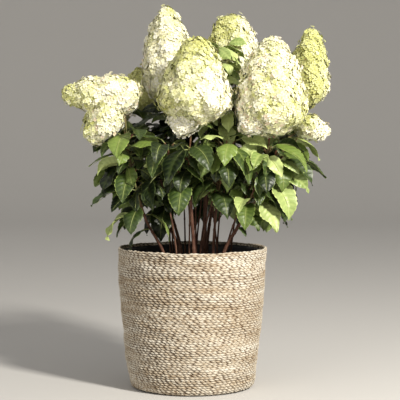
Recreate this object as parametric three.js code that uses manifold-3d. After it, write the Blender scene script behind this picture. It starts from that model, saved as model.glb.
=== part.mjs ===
// A panicle hydrangea growing in a lined basket of stitched rope.
// Millimetres, +Z up, origin under the centre of the basket; the plant's front faces -Y.
import * as THREE from "three";
import { mergeVertices } from "three/addons/utils/BufferGeometryUtils.js";
import Module from "manifold-3d";

const wasm = await Module();
wasm.setup();

// Driving dimensions of the basket, its liner and the potting soil
const BASKET_HEIGHT = 300;
const RIM_RADIUS = 160;
const WALL_LEAN = 17.6; // how much narrower the straight wall is at the foot than at the rim
const WALL_TUCK = 10.4; // how much further the wall curls in just above the foot
const TUCK_POWER = 5;
const WALL_HEIGHTS = [0, 32, 70, 125, 210, 300]; // where the modelled wall changes its slope
const FOOT_ROUND = 12;
const ROPE = 7;
const LINER_FILM = 1.2;
const LINER_TOP = 293;
const SOIL_TOP = 262;
const SOIL_SHOULDER = 5; // how far the soil falls away at the liner
const CLEAR = 0.3; // between pieces that touch on the real plant
const ROUND_STEPS = 36;

// Driving dimensions of the leaves, which sit in opposite pairs
const BLADE = 88;
const BLADE_WIDTH = 0.54; // as a share of the blade's length
const PETIOLE = 0.2; // as a share of the blade's length
const PETIOLE_RADIUS = 1.1;
const PETIOLE_KINK = 0.35; // how much lower the blade points than its petiole, in radians
const LEAF_THICK = 0.022; // at the midrib, as a share of the blade's length
const FOLD = 0.26; // how far the margins rise above the midrib, as a share of the half width
const FIRST_PAIR = 12; // up the shoot from its foot
const BETWEEN_PAIRS = 39;
const BARE_TIP = 12; // down the shoot from its tip
const OUTWARD_SWING = 35; // how far a leaf swings from its place towards the light, in degrees
const BETWEEN_LEAVES = 0.4; // the least gap between two leaves
const BLADE_ROWS = [[0, 0.05], [0.26, 0.9], [0.6, 0.87], [1, 0]]; // cross sections: place and width
const TRIES = [0, 20, -20, 40, -40, 60, -60]; // turns in degrees that a leaf makes to find room

// Driving dimensions of the flower heads, each a cone of florets round a stalk
const WIDEST = 0.28; // where a head is widest, as a share of its length
const HEAD_TAPER = 1.9; // how late a head starts to narrow
const HEAD_BLUNT = 0.45; // how round its top is: higher values bring it to more of a point
const TRUSS_START = 0.02; // where the first and last rows of florets sit, as shares of its length
const TRUSS_END = 0.98;
const FLORET_GRID = 23; // between two corners of a head's surface
const CLUSTER_DEPTH = 8; // how far a cluster of florets stands out from the hollows around it
const CLUSTER_UNEVEN = 6; // how unevenly the clusters stand out
const STALK = 2.6;
const STALK_SEAT = 0.22; // where the stalk ends inside a head, as a share of its length

// The woody canes, from their feet in the soil to the tips where leafy shoots take over
const CANES = {
  left: { foot: [-57, -30], tip: [-102, -54, 374], thick: 7.2 },
  left_back: { foot: [-22, 8], tip: [-50, 40, 392], thick: 7.6 },
  front: { foot: [4, -42], tip: [-6, -60, 449], thick: 8.6 },
  middle: { foot: [26, -2], tip: [29, 4, 462], thick: 9.6 },
  middle_right: { foot: [44, -24], tip: [53, -32, 420], thick: 6.4 },
  right: { foot: [62, -42], tip: [112, -62, 380], thick: 8.2 },
  right_back: { foot: [68, 14], tip: [132, 40, 402], thick: 7.8 },
  back: { foot: [30, 44], tip: [46, 112, 408], thick: 7.8 },
  back_left: { foot: [-26, 46], tip: [-80, 100, 396], thick: 7.4 },
};

// The flower heads: foot is where the stalk starts, and each truss is a cone from base to tip, some
// with a taper and a blunt of their own
const HEADS = {
  tall: {
    foot: [-43, 56, 590],
    trusses: [{ base: [-43, 56, 604], tip: [-58, 42, 815], radius: 63, blunt: 0.6 }],
  },
  front_left: {
    foot: [-4, -84, 522],
    trusses: [
      { base: [1, -88, 564], tip: [12, -100, 745], radius: 80, taper: 1.3, blunt: 0.6 },
      { base: [-10, -92, 606], tip: [-24, -106, 536], radius: 38 },
    ],
  },
  back_middle: {
    foot: [94, 70, 640],
    trusses: [{ base: [91, 70, 652], tip: [84, 60, 801], radius: 62 }],
  },
  front_right: {
    foot: [160, -80, 528],
    trusses: [
      { base: [163, -83, 540], tip: [166, -90, 742], radius: 77, blunt: 0.6 },
      { base: [148, -94, 596], tip: [106, -128, 546], radius: 35 },
    ],
  },
  right: {
    foot: [246, 46, 586],
    trusses: [{ base: [248, 49, 600], tip: [260, 50, 768], radius: 46 }],
  },
  low_right: {
    foot: [214, -18, 540],
    trusses: [{ base: [222, -20, 560], tip: [294, -34, 544], radius: 31 }],
  },
  left: {
    foot: [-138, -58, 548],
    trusses: [
      { base: [-108, -60, 622], tip: [-271, -70, 624], radius: 45 },
      { base: [-162, -68, 606], tip: [-212, -88, 526], radius: 42 },
    ],
  },
  left_back: {
    foot: [-108, 126, 570],
    trusses: [{ base: [-110, 128, 582], tip: [-124, 148, 690], radius: 36 }],
  },
  far_left: {
    foot: [-138, 92, 560],
    trusses: [{ base: [-146, 96, 572], tip: [-214, 124, 634], radius: 36 }],
  },
  back: {
    foot: [22, 160, 562],
    trusses: [{ base: [22, 162, 578], tip: [23, 188, 715], radius: 50 }],
  },
  right_back: {
    foot: [182, 124, 548],
    trusses: [{ base: [186, 129, 564], tip: [200, 164, 702], radius: 47 }],
  },
  low_back: {
    foot: [116, 152, 512],
    trusses: [{ base: [120, 158, 524], tip: [138, 226, 578], radius: 34 }],
  },
};

// The leafy shoots: each grows from a cane to a flower head, or to a leafy tip of its own
// turn is the compass turn of its first pair of leaves in degrees, size scales its leaves,
// between is the spacing of its pairs, and bare is how much of its tip has no leaves
const SHOOTS = {
  tall: { cane: "left_back", head: "tall", turn: 20 },
  front_left: { cane: "front", head: "front_left", turn: 70 },
  back_middle: { cane: "middle", head: "back_middle", turn: 130 },
  front_right: { cane: "right", head: "front_right", turn: 60 },
  right: { cane: "right_back", head: "right", turn: 10, bare: 110 },
  left: { cane: "left", head: "left", turn: 100 },
  back: { cane: "back", head: "back", turn: 40 },
  left_back: { cane: "back_left", head: "left_back", turn: 110 },
  upright: { cane: "middle_right", tip: [58, -2, 726], turn: 5, size: 0.7, between: 42, bare: 4 },
  low_right: { cane: "right_back", below: 16, head: "low_right", turn: 150 },
  right_back: { cane: "right_back", below: 34, head: "right_back", turn: 80 },
  low_back: { cane: "back", below: 16, head: "low_back", turn: 0 },
  far_left: { cane: "back_left", below: 16, head: "far_left", turn: 30 },
  front_inner: { cane: "middle_right", below: 18, tip: [72, -84, 528], turn: 75 },
  front_low: { cane: "front", below: 18, tip: [-56, -100, 524], turn: 95 },
  left_low: { cane: "left", below: 14, tip: [-132, -20, 492], turn: 15 },
  left_inner: { cane: "left_back", below: 18, tip: [-96, -6, 540], turn: 60 },
  right_low: { cane: "right", below: 26, tip: [176, -70, 492], turn: 120 },
  back_low: { cane: "back", below: 34, tip: [20, 190, 484], turn: 85 },
  back_left_low: { cane: "back_left", below: 34, tip: [-136, 146, 482], turn: 140 },
};

// Places that the limbs and leaves are worked out from
const SHOOT_RADIUS = 2.1;
const SHOOT_TIP_RADIUS = 1.5;
const CANE_SIDES = 7;
const CANE_STEPS = 7;
const SHOOT_SIDES = 5;
const SHOOT_STEPS = 6;
const HEART = [20, 10]; // the middle of the bush, seen from above

const UP = new THREE.Vector3(0, 0, 1);
const point = (xyz) => new THREE.Vector3(...xyz);
const degrees = THREE.MathUtils.degToRad;

function paint(color, roughness) {
  return new THREE.MeshStandardMaterial({ color, roughness, metalness: 0 });
}
const ROPE_PAINT = paint(0xcbb48e, 0.9);
const LINER_PAINT = paint(0x17181a, 0.45);
const SOIL_PAINT = paint(0x2b2019, 1);
const CANE_PAINT = paint(0x5c3a2b, 0.8);
const LEAF_PAINT = paint(0x3f6326, 0.55);
const BLOSSOM_PAINT = paint(0xf0efd2, 0.8);

// A number from 0 to 1 for each call, the same on every run
function seeded(seed) {
  let state = seed >>> 0;
  return () => {
    state = (Math.imul(state, 1664525) + 1013904223) >>> 0;
    return state / 4294967296;
  };
}

// A geometry as a closed solid, with its shared corners merged and its empty triangles dropped
function solidOf(geometry) {
  const bare = geometry.clone();
  bare.deleteAttribute("normal");
  bare.deleteAttribute("uv");
  const merged = mergeVertices(bare, 1e-3);
  const corners = [];
  for (let i = 0; i < merged.index.count; i += 3) {
    const [a, b, c] = merged.index.array.slice(i, i + 3);
    if (a !== b && b !== c && c !== a) corners.push(a, b, c);
  }
  return new wasm.Manifold(
    new wasm.Mesh({
      numProp: 3,
      vertProperties: new Float32Array(merged.attributes.position.array),
      triVerts: new Uint32Array(corners),
    }),
  );
}

// The largest body of a solid, without the scraps that a cut can leave
function largestBody(solid) {
  return solid.decompose().reduce((a, b) => (a.volume() > b.volume() ? a : b));
}

function meshOf(name, solid, material) {
  const made = largestBody(solid).getMesh();
  const geometry = new THREE.BufferGeometry();
  geometry.setAttribute("position", new THREE.BufferAttribute(new Float32Array(made.vertProperties), 3));
  geometry.setIndex(new THREE.BufferAttribute(new Uint32Array(made.triVerts), 1));
  geometry.computeVertexNormals();
  const mesh = new THREE.Mesh(geometry, material);
  mesh.name = name;
  return mesh;
}

// A closed cylinder bent along stations; each station has a centre and the vectors across and up.
// raise lifts both sides of the section, which folds a leaf along its midrib.
function swept(stations, sides) {
  const last = stations.length - 1;
  const shape = new THREE.CylinderGeometry(1, 1, 1, sides, last);
  const place = shape.getAttribute("position");
  for (let i = 0; i < place.count; i++) {
    const { centre, across, up, raise } = stations[Math.round((place.getY(i) + 0.5) * last)];
    const p = centre.clone().addScaledVector(across, place.getX(i)).addScaledVector(up, place.getZ(i));
    if (raise) p.addScaledVector(raise, Math.abs(place.getX(i)));
    place.setXYZ(i, p.x, p.y, p.z);
  }
  return shape;
}

// A round tapering limb along a curve, as a closed solid
function limb(curve, radiusAt, sides, steps, grown = 0) {
  const { normals, binormals } = curve.computeFrenetFrames(steps, false);
  const stations = [];
  for (let i = 0; i <= steps; i++) {
    const radius = radiusAt(i / steps) + grown;
    stations.push({
      centre: curve.getPointAt(i / steps),
      across: binormals[i].clone().multiplyScalar(radius),
      up: normals[i].clone().multiplyScalar(radius),
    });
  }
  return solidOf(swept(stations, sides));
}

// A smooth curve that leaves one point along a direction and reaches another along a second direction
function easedCurve(start, leaving, end, arriving) {
  const handle = start.distanceTo(end) * 0.36;
  return new THREE.CubicBezierCurve3(
    start,
    start.clone().addScaledVector(leaving, handle),
    end.clone().addScaledVector(arriving, -handle),
    end,
  );
}

// The basket's outer radius at a height: the smooth wall, and the same wall in straight steps
function smoothWallRadius(z) {
  const down = 1 - z / BASKET_HEIGHT;
  return RIM_RADIUS - WALL_LEAN * down - WALL_TUCK * down ** TUCK_POWER;
}
function wallRadius(z) {
  const above = Math.max(1, WALL_HEIGHTS.findIndex((height) => height >= z));
  const [low, high] = WALL_HEIGHTS.slice(above - 1, above + 1);
  return THREE.MathUtils.mapLinear(z, low, high, smoothWallRadius(low), smoothWallRadius(high));
}

// Points up the wall between two heights, moved inwards by an inset
function wallPoints(inset, low, high) {
  const between = WALL_HEIGHTS.filter((z) => z > low && z < high);
  return [low, ...between, high].map((z) => new THREE.Vector2(wallRadius(z) - inset, z));
}

function turned(profile) {
  const shape = new THREE.LatheGeometry(profile, ROUND_STEPS);
  return solidOf(shape.rotateX(Math.PI / 2));
}

// The basket: a round of stitched rope with a flat underside, a rounded foot and a rounded rim
function basket() {
  const foot = Array.from({ length: 3 }, (_, i) => {
    const turn = (i / 3) * (Math.PI / 2);
    return new THREE.Vector2(
      wallRadius(FOOT_ROUND) - FOOT_ROUND * (1 - Math.sin(turn)),
      FOOT_ROUND * (1 - Math.cos(turn)),
    );
  });
  const rim = Array.from({ length: 5 }, (_, i) => {
    const turn = (i / 4) * Math.PI;
    return new THREE.Vector2(
      RIM_RADIUS - ROPE / 2 + (ROPE / 2) * Math.cos(turn),
      BASKET_HEIGHT - ROPE / 2 + (ROPE / 2) * Math.sin(turn),
    );
  });
  return turned([
    new THREE.Vector2(0, 0),
    ...foot,
    ...wallPoints(0, FOOT_ROUND, BASKET_HEIGHT - ROPE),
    ...rim,
    ...wallPoints(ROPE, ROPE, BASKET_HEIGHT - ROPE).reverse(),
    new THREE.Vector2(0, ROPE),
  ]);
}

// The liner: a thin film bag that lines the basket almost to its rim
function liner() {
  const outside = ROPE + CLEAR;
  const floor = ROPE + CLEAR;
  return turned([
    new THREE.Vector2(0, floor),
    ...wallPoints(outside, floor, LINER_TOP),
    ...wallPoints(outside + LINER_FILM, floor + LINER_FILM, LINER_TOP).reverse(),
    new THREE.Vector2(0, floor + LINER_FILM),
  ]);
}

// The potting soil: it fills the liner to just under the rim
function soil() {
  const inset = ROPE + LINER_FILM + 2 * CLEAR;
  return turned([
    new THREE.Vector2(0, inset),
    ...wallPoints(inset, inset, SOIL_TOP - SOIL_SHOULDER),
    new THREE.Vector2(wallRadius(SOIL_TOP) - inset - 4 * SOIL_SHOULDER, SOIL_TOP),
    new THREE.Vector2(0, SOIL_TOP),
  ]);
}

// A cane's centre line: it rises straight from the soil and leans out to its tip
function caneCurve({ foot, tip }) {
  const start = point([...foot, SOIL_TOP + CLEAR]);
  const end = point(tip);
  const leaving = UP;
  const arriving = end.clone().sub(start).normalize().lerp(UP, 0.25).normalize();
  return easedCurve(start, leaving, end, arriving);
}

// A cane's radius: flared at the foot, then a steady taper
function caneRadius({ thick }) {
  return (t) => (thick / 2) * (1 - 0.24 * t) * (1 + 0.45 * Math.exp(-t * 14));
}

// A flower head's radius at a share of its length, over its greatest radius
function headProfile(s, { taper = HEAD_TAPER, blunt = HEAD_BLUNT }) {
  if (s < WIDEST) return Math.sqrt(Math.max(0, 1 - ((WIDEST - s) / WIDEST) ** 2));
  return Math.max(0, 1 - ((s - WIDEST) / (1 - WIDEST)) ** taper) ** blunt;
}

// A truss's own frame: its length and the directions along, across and up
function trussFrame({ base, tip }) {
  const start = point(base);
  const along = point(tip).sub(start);
  const length = along.length();
  along.normalize();
  const across = new THREE.Vector3(0, 1, 0).cross(along).normalize();
  return { start, length, along, across, up: across.clone().cross(along) };
}

// A truss: a cone on whose surface every third corner swells into a cluster of florets
function trussSolid(truss, random) {
  const frame = trussFrame(truss);
  const columns = 3 * Math.round((2 * Math.PI * truss.radius) / FLORET_GRID / 3);
  const rows = Math.round((frame.length + truss.radius * 0.6) / FLORET_GRID);
  const shape = new THREE.CylinderGeometry(1, 1, 1, columns, rows);
  const place = shape.getAttribute("position");
  const swell = Array.from({ length: (rows + 1) * columns }, random);
  for (let i = 0; i < place.count; i++) {
    const level = Math.round((place.getY(i) + 0.5) * rows);
    const angle = Math.atan2(place.getX(i), place.getZ(i));
    const column = (Math.round((angle / (2 * Math.PI)) * columns) + columns) % columns;
    const amount = swell[level * columns + column];
    const s = THREE.MathUtils.lerp(TRUSS_START, TRUSS_END, 0.5 - 0.5 * Math.cos((Math.PI * level) / rows));
    const full = headProfile(s, truss) * truss.radius;
    const hollow = (level + column) % 3 ? Math.min(CLUSTER_DEPTH, full * 0.3) : 0;
    const reach = full - hollow - Math.min(CLUSTER_UNEVEN, full * 0.2) * amount;
    const radius = Math.hypot(place.getX(i), place.getZ(i)) * reach;
    const p = frame.start
      .clone()
      .addScaledVector(frame.along, s * frame.length + CLUSTER_UNEVEN * (amount - 0.5))
      .addScaledVector(frame.across, radius * Math.sin(angle))
      .addScaledVector(frame.up, radius * Math.cos(angle));
    place.setXYZ(i, p.x, p.y, p.z);
  }
  return solidOf(shape);
}

// A flower head: its trusses joined to a stalk that reaches down to its shoot
function flowerHead({ foot, trusses }, seed) {
  const random = seeded(seed);
  const parts = trusses.map((truss) => trussSolid(truss, random));
  const frame = trussFrame(trusses[0]);
  const seat = frame.start.clone().addScaledVector(frame.along, frame.length * STALK_SEAT);
  parts.push(limb(new THREE.LineCurve3(point(foot), seat), () => STALK, SHOOT_SIDES, 1));
  return wasm.Manifold.union(parts);
}

// A shoot's centre line, from its cane's tip, or from lower on the cane, to its own tip
function shootCurve(shoot) {
  const cane = CANES[shoot.cane];
  const curve = caneCurve(cane);
  const share = 1 - (shoot.below ?? 0) / curve.getLength();
  const start = curve.getPointAt(share);
  const onward = curve.getTangentAt(share);
  const head = shoot.head && HEADS[shoot.head];
  const end = point(head ? head.foot : shoot.tip);
  const outward = end.clone().sub(start).normalize();
  if (!shoot.below) start.addScaledVector(onward, CLEAR);
  const leaving = shoot.below ? outward.lerp(UP, -0.1).normalize() : onward;
  const arriving = end.clone().sub(start).normalize().lerp(UP, 0.75).normalize();
  if (head) {
    const { start: base, along, length } = trussFrame(head.trusses[0]);
    arriving.copy(base).addScaledVector(along, length * STALK_SEAT).sub(end).normalize();
    end.addScaledVector(arriving, -CLEAR);
  }
  return easedCurve(start, leaving, end, arriving);
}

// A leaf's cross sections, from its root in the stem along the petiole and the blade to its tip.
// The petiole rises from the stem, and the blade arches over in the same upright plane, with a
// little roll about its midrib. bare leaves out the start of the petiole, and grown thickens it all.
function leafStations({ root, turn, lift, droop, roll, size }, { grown = 0, bare = 0 } = {}) {
  const outward = new THREE.Vector3(Math.cos(turn), Math.sin(turn), 0);
  const blade = BLADE * size;
  const firstPitch = lift - PETIOLE_KINK;
  const pitched = (angle) => outward.clone().multiplyScalar(Math.cos(angle)).addScaledVector(UP, Math.sin(angle));
  const bladeBase = root.clone().addScaledVector(pitched(lift), blade * PETIOLE);
  const section = (centre, pitch, halfWidth, halfThick, rise) => {
    const along = pitched(pitch);
    const level = pitched(pitch + Math.PI / 2);
    const up = level.clone().applyAxisAngle(along, roll);
    const across = along.clone().cross(up).multiplyScalar(halfWidth + grown);
    return {
      centre,
      across,
      up: up.clone().multiplyScalar(halfThick + grown),
      raise: up.multiplyScalar(rise),
    };
  };
  const rows = BLADE_ROWS.map(([s, width]) => {
    const pitch = firstPitch - droop * s;
    const centre = bladeBase
      .clone()
      .addScaledVector(outward, (blade * (Math.sin(firstPitch) - Math.sin(pitch))) / droop)
      .addScaledVector(UP, (blade * (Math.cos(pitch) - Math.cos(firstPitch))) / droop);
    const halfWidth = (blade * BLADE_WIDTH * width) / 2;
    const halfThick = width > 0 ? (blade * LEAF_THICK) / 2 : 0;
    return section(centre, pitch, halfWidth, halfThick, halfWidth * FOLD);
  });
  return [section(root.clone().lerp(bladeBase, bare), lift, PETIOLE_RADIUS, PETIOLE_RADIUS, 0), ...rows];
}

const leafSolid = (leaf, changes) => solidOf(swept(leafStations(leaf, changes), 4));

// Whether two solids' boxes meet, which is the quick test before the exact one
function boxesMeet(a, b) {
  return [0, 1, 2].every((i) => a.min[i] <= b.max[i] && b.min[i] <= a.max[i]);
}

// Everything placed so far, so that each new leaf keeps clear of it
const placed = [];
function place(solid, owner = "") {
  placed.push({ solid, box: solid.boundingBox(), owner });
  return solid;
}
function hasRoom(solid, others) {
  const box = solid.boundingBox();
  return !others.some((other) => boxesMeet(box, other.box) && !solid.intersect(other.solid).isEmpty());
}

// Where a shoot's leaves sit: opposite pairs up its stem, each pair square to the one below, and
// every leaf swung a little towards the outside of the bush
function leafSeats(curve, shoot, random) {
  const length = curve.getLength();
  const leafy = length - FIRST_PAIR - (shoot.bare ?? BARE_TIP);
  const pairs = Math.max(1, Math.round(leafy / (shoot.between ?? BETWEEN_PAIRS)));
  const seats = [];
  for (let i = 0; i <= pairs; i++) {
    const root = curve.getPointAt((FIRST_PAIR + (leafy * i) / pairs) / length);
    const outside = Math.atan2(root.y - HEART[1], root.x - HEART[0]);
    for (const side of [0, 180]) {
      const turn = degrees(shoot.turn + i * 90 + side + (random() - 0.5) * 30);
      seats.push({
        root,
        turn: turn + degrees(OUTWARD_SWING) * Math.sin(outside - turn),
        lift: degrees(-8 + random() * 28),
        droop: degrees(38 + random() * 42),
        roll: degrees((random() - 0.5) * 40),
        size: (shoot.size ?? 1) * (0.8 + 0.3 * random()),
      });
    }
  }
  return seats;
}

// The leaves of one shoot: each turns until it finds room, and is left out where it finds none.
// Two leaves of a pair share a root, so their blades alone are kept apart.
function growLeaves(name, shoot, curve, seed) {
  const others = placed.filter(({ owner }) => owner !== name);
  const blades = [];
  const leaves = [];
  for (const seat of leafSeats(curve, shoot, seeded(seed))) {
    for (const turn of TRIES) {
      const leaf = { ...seat, turn: seat.turn + degrees(turn), droop: seat.droop + degrees(Math.abs(turn) / 4) };
      const blade = leafSolid(leaf, { grown: BETWEEN_LEAVES, bare: 0.4 });
      if (!hasRoom(blade, blades) || !hasRoom(leafSolid(leaf, { grown: BETWEEN_LEAVES }), others)) continue;
      blades.push({ solid: blade, box: blade.boundingBox() });
      leaves.push(place(leafSolid(leaf)));
      break;
    }
  }
  return leaves;
}

const plant = new THREE.Group();
plant.add(meshOf("basket", place(basket()), ROPE_PAINT));
plant.add(meshOf("liner", place(liner()), LINER_PAINT));
plant.add(meshOf("soil", place(soil()), SOIL_PAINT));

for (const [name, cane] of Object.entries(CANES)) {
  const solid = limb(caneCurve(cane), caneRadius(cane), CANE_SIDES, CANE_STEPS);
  plant.add(meshOf("cane_" + name, place(solid), CANE_PAINT));
}

Object.entries(HEADS).forEach(([name, head], i) => {
  plant.add(meshOf("flower_head_" + name, place(flowerHead(head, 100 + i)), BLOSSOM_PAINT));
});

// Every stem goes in before the first leaf, so that no leaf cuts across one
const stems = Object.entries(SHOOTS).map(([name, shoot]) => {
  const curve = shootCurve(shoot);
  const taper = (t) => SHOOT_RADIUS + (SHOOT_TIP_RADIUS - SHOOT_RADIUS) * t;
  let stem = limb(curve, taper, SHOOT_SIDES, SHOOT_STEPS);
  if (shoot.below) {
    const cane = CANES[shoot.cane];
    stem = largestBody(stem.subtract(limb(caneCurve(cane), caneRadius(cane), CANE_SIDES, CANE_STEPS, CLEAR)));
  }
  place(stem, name);
  return { name, shoot, curve, stem };
});

stems.forEach(({ name, shoot, curve, stem }, i) => {
  const leaves = growLeaves(name, shoot, curve, 7 + i);
  plant.add(meshOf("shoot_" + name, wasm.Manifold.union([stem, ...leaves]), LEAF_PAINT));
});

export default plant;
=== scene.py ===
import math

import bpy
import numpy as np
from mathutils import Euler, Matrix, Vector
from mathutils.bvhtree import BVHTree


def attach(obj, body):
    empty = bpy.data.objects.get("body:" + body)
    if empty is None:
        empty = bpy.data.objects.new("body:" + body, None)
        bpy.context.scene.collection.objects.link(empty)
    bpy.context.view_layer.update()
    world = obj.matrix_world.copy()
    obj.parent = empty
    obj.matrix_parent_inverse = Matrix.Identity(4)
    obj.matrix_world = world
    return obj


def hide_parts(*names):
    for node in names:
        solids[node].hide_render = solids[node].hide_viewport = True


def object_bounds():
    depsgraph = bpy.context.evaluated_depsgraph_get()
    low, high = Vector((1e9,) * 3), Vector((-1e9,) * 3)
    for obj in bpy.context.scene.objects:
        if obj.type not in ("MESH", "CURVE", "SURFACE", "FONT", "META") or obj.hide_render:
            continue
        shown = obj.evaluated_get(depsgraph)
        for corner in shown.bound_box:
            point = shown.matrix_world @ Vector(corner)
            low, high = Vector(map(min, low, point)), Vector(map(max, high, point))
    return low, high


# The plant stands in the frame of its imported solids, in metres, +Z up, with the middle of the
# basket's underside at the origin and the front of the bush towards -Y.
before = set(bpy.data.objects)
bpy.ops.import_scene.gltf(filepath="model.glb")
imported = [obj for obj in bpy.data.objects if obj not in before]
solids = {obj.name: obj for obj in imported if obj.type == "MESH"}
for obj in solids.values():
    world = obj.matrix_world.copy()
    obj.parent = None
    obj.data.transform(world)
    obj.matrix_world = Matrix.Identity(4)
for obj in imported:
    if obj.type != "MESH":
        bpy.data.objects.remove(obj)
solid_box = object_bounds()


# The view: a standing camera a few steps in front of the basket, a little above its rim and
# looking slightly down, with the long lens that gives the rim its shallow ellipse.
LOOKING_DOWN = 3.149
lens = bpy.data.cameras.new("view")
lens.lens = 126.36
lens.sensor_width = 36
lens.clip_end = 100
camera = bpy.data.objects.new("view", lens)
camera.location = (0.0165, -3.0, 0.565)
camera.rotation_euler = Euler((math.radians(90 - LOOKING_DOWN), 0, 0))
bpy.context.scene.collection.objects.link(camera)
bpy.context.scene.camera = camera


# The basket: one long rope of two twisted plies of dried seagrass, wound round and round and
# stitched to the turn below, first outwards over the underside and then up the wall to the rim.
BASKET_HEIGHT = 0.300
RIM_RADIUS = 0.160
WALL_LEAN = 0.0176
WALL_TUCK = 0.0104
TUCK_POWER = 5
FOOT_ROUND = 0.012
RIM_ROUND = 0.0035
WALL_TURNS, PLIES_ROUND = 58, 82
BASE_TURNS, BASE_PLIES_ROUND = 20, 48
BASE_HEIGHT = 0.0016
GROOVE = 0.0032
TWIST_LEAN = 0.0044
PLY_ADVANCE = -2.8
SLACK_FROM = 0.02
SAG_END, SAG_FADE = 0.292, 0.03


def wall_radius(z):
    """The basket's outer radius at a height."""
    down = 1 - z / BASKET_HEIGHT
    return RIM_RADIUS - WALL_LEAN * down - WALL_TUCK * down**TUCK_POWER


def shape(name, points, *faces, **carried):
    """A smooth-shaded mesh object from an array of points and arrays of triangles or quads. Each
    point carries the numbers that are given by name, and the piece's finish can read them."""
    corners = np.concatenate([f.ravel() for f in faces]).astype(np.int32)
    sizes = np.concatenate([np.full(len(f), f.shape[1]) for f in faces]).astype(np.int32)
    mesh = bpy.data.meshes.new(name)
    mesh.vertices.add(len(points))
    mesh.vertices.foreach_set("co", np.asarray(points, np.float32).ravel())
    mesh.loops.add(len(corners))
    mesh.loops.foreach_set("vertex_index", corners)
    mesh.polygons.add(len(sizes))
    mesh.polygons.foreach_set("loop_start", np.concatenate([[0], np.cumsum(sizes)[:-1]]).astype(np.int32))
    mesh.polygons.foreach_set("use_smooth", np.ones(len(sizes), bool))
    for word, values in carried.items():
        mesh.attributes.new(word, "FLOAT", "POINT").data.foreach_set("value", np.asarray(values, np.float32))
    mesh.update(calc_edges=True)
    mesh.validate()
    made = bpy.data.objects.new(name, mesh)
    bpy.context.scene.collection.objects.link(made)
    return made


def wear(piece, finish, slot, *nodes):
    """Dresses a piece in a finish and lets it stand for its solids."""
    piece.data.materials.append(finish.material)
    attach(piece, "root")
    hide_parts(*nodes)


def grid_faces(rows, columns, closed=True):
    """Quads between rows of points laid out one after another, closed round when asked."""
    across = columns if closed else columns - 1
    row, column = np.meshgrid(np.arange(rows - 1), np.arange(across), indexing="ij")
    here, beside = row * columns + column, row * columns + (column + 1) % columns
    return np.stack([here, beside, beside + columns, here + columns], -1).reshape(-1, 4)


def ring_points(angle, r, z):
    """Points round the basket's axis, at angles counted from the front."""
    return np.stack([r * np.sin(angle), -r * np.cos(angle), z + 0 * angle], -1)


def unit(v):
    return v / np.linalg.norm(v, axis=-1, keepdims=True)


class Wire:
    """One socket in a finish. Sums on it add the nodes that work them out."""

    def __init__(self, finish, socket):
        self.finish = finish
        self.socket = socket

    def maths(self, operation, other):
        return self.finish.node("ShaderNodeMath", {0: self, 1: other}, operation=operation)

    def __add__(self, other):
        return self.maths("ADD", other)

    def __mul__(self, other):
        return self.maths("MULTIPLY", other)

    def __pow__(self, other):
        return self.maths("POWER", other)

    __radd__ = __add__
    __rmul__ = __mul__


class Finish:
    """A surface finish, as one Principled shader and the nodes that feed it."""

    def __init__(self, name, **settings):
        self.material = bpy.data.materials.new(name)
        self.material.use_nodes = True
        self.tree = self.material.node_tree
        self.shader = self.tree.nodes["Principled BSDF"]
        for words, value in settings.items():
            self.shader.inputs[words.replace("_", " ")].default_value = value

    def node(self, kind, inputs, output=0, stops=(), **settings):
        """Adds a node: its settings first, then a ramp's stops, then its values or links."""
        made = self.tree.nodes.new(kind)
        for key, value in settings.items():
            setattr(made, key, value)
        for i, (position, colour) in enumerate(stops):
            while len(made.color_ramp.elements) <= i:
                made.color_ramp.elements.new(1)
            made.color_ramp.elements[i].position = position
            made.color_ramp.elements[i].color = (*colour, 1)
        for key, value in inputs.items():
            if isinstance(value, Wire):
                self.tree.links.new(value.socket, made.inputs[key])
            else:
                made.inputs[key].default_value = value
        return Wire(self, made.outputs[output])

    def noise(self, *fineness, detail=3.0, roughness=0.55):
        """A cloudy pattern, as fine along each axis as asked."""
        here = self.node("ShaderNodeTexCoord", {}, output=3)
        place = self.node("ShaderNodeVectorMath", {0: here, 1: fineness}, operation="MULTIPLY")
        inputs = {"Vector": place, "Scale": 1.0, "Detail": detail, "Roughness": roughness}
        return self.node("ShaderNodeTexNoise", inputs)

    def ramp(self, share, *stops):
        """A colour that runs through the given stops."""
        return self.node("ShaderNodeValToRGB", {0: share}, stops=stops)

    def carried(self, word):
        """A number that each point of the mesh carries."""
        return self.node("ShaderNodeAttribute", {}, output=2, attribute_name=word)

    def mix(self, share, first, second):
        """One colour turning into another as share goes from 0 to 1."""
        return self.node("ShaderNodeMix", {0: share, 6: first, 7: second}, output=2, data_type="RGBA")

    def feed(self, socket, wire):
        self.tree.links.new(wire.socket, self.shader.inputs[socket])

    def bump(self, height, distance, strength):
        inputs = {"Height": height, "Distance": distance, "Strength": strength}
        self.feed("Normal", self.node("ShaderNodeBump", inputs))


def slow_wave(angle, rows, size, seed):
    """A gentle unevenness round the basket that changes little from one turn of rope to the next."""
    chance = np.random.default_rng(seed)
    total = np.zeros(np.broadcast(angle, rows).shape)
    for turns in (1, 2, 3, 5, 8, 13):
        drift, start = chance.uniform(-0.35, 0.35), chance.uniform(0, 2 * math.pi)
        total += np.cos(turns * angle + drift * rows + start) / turns**0.5
    return size * total / 2.2


# Where the soft wall bellies out, or in where the last number is -1: how far round, how high and
# which way. Each place is a hand's width across.
BULGES = ((0.7, 0.20, 1), (-0.5, 0.12, -1), (-1.4, 0.22, 1), (2.2, 0.1, 1), (3.1, 0.21, -1), (1.5, 0.08, -1))
BULGE = 0.0028


def bulges(angle, z):
    """How far the wall stands out in its bulges and in the small dents all over it."""
    total = 0 * angle
    for side, height, way in BULGES:
        apart = (np.mod(angle - side + math.pi, 2 * math.pi) - math.pi) / 0.45
        total = total + BULGE * way * np.exp(-(apart**2) - ((z - height) / 0.05) ** 2)
    return total + 0.0008 * np.cos(9 * angle + 140 * z) * np.cos(4 * angle - 60 * z)


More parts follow.
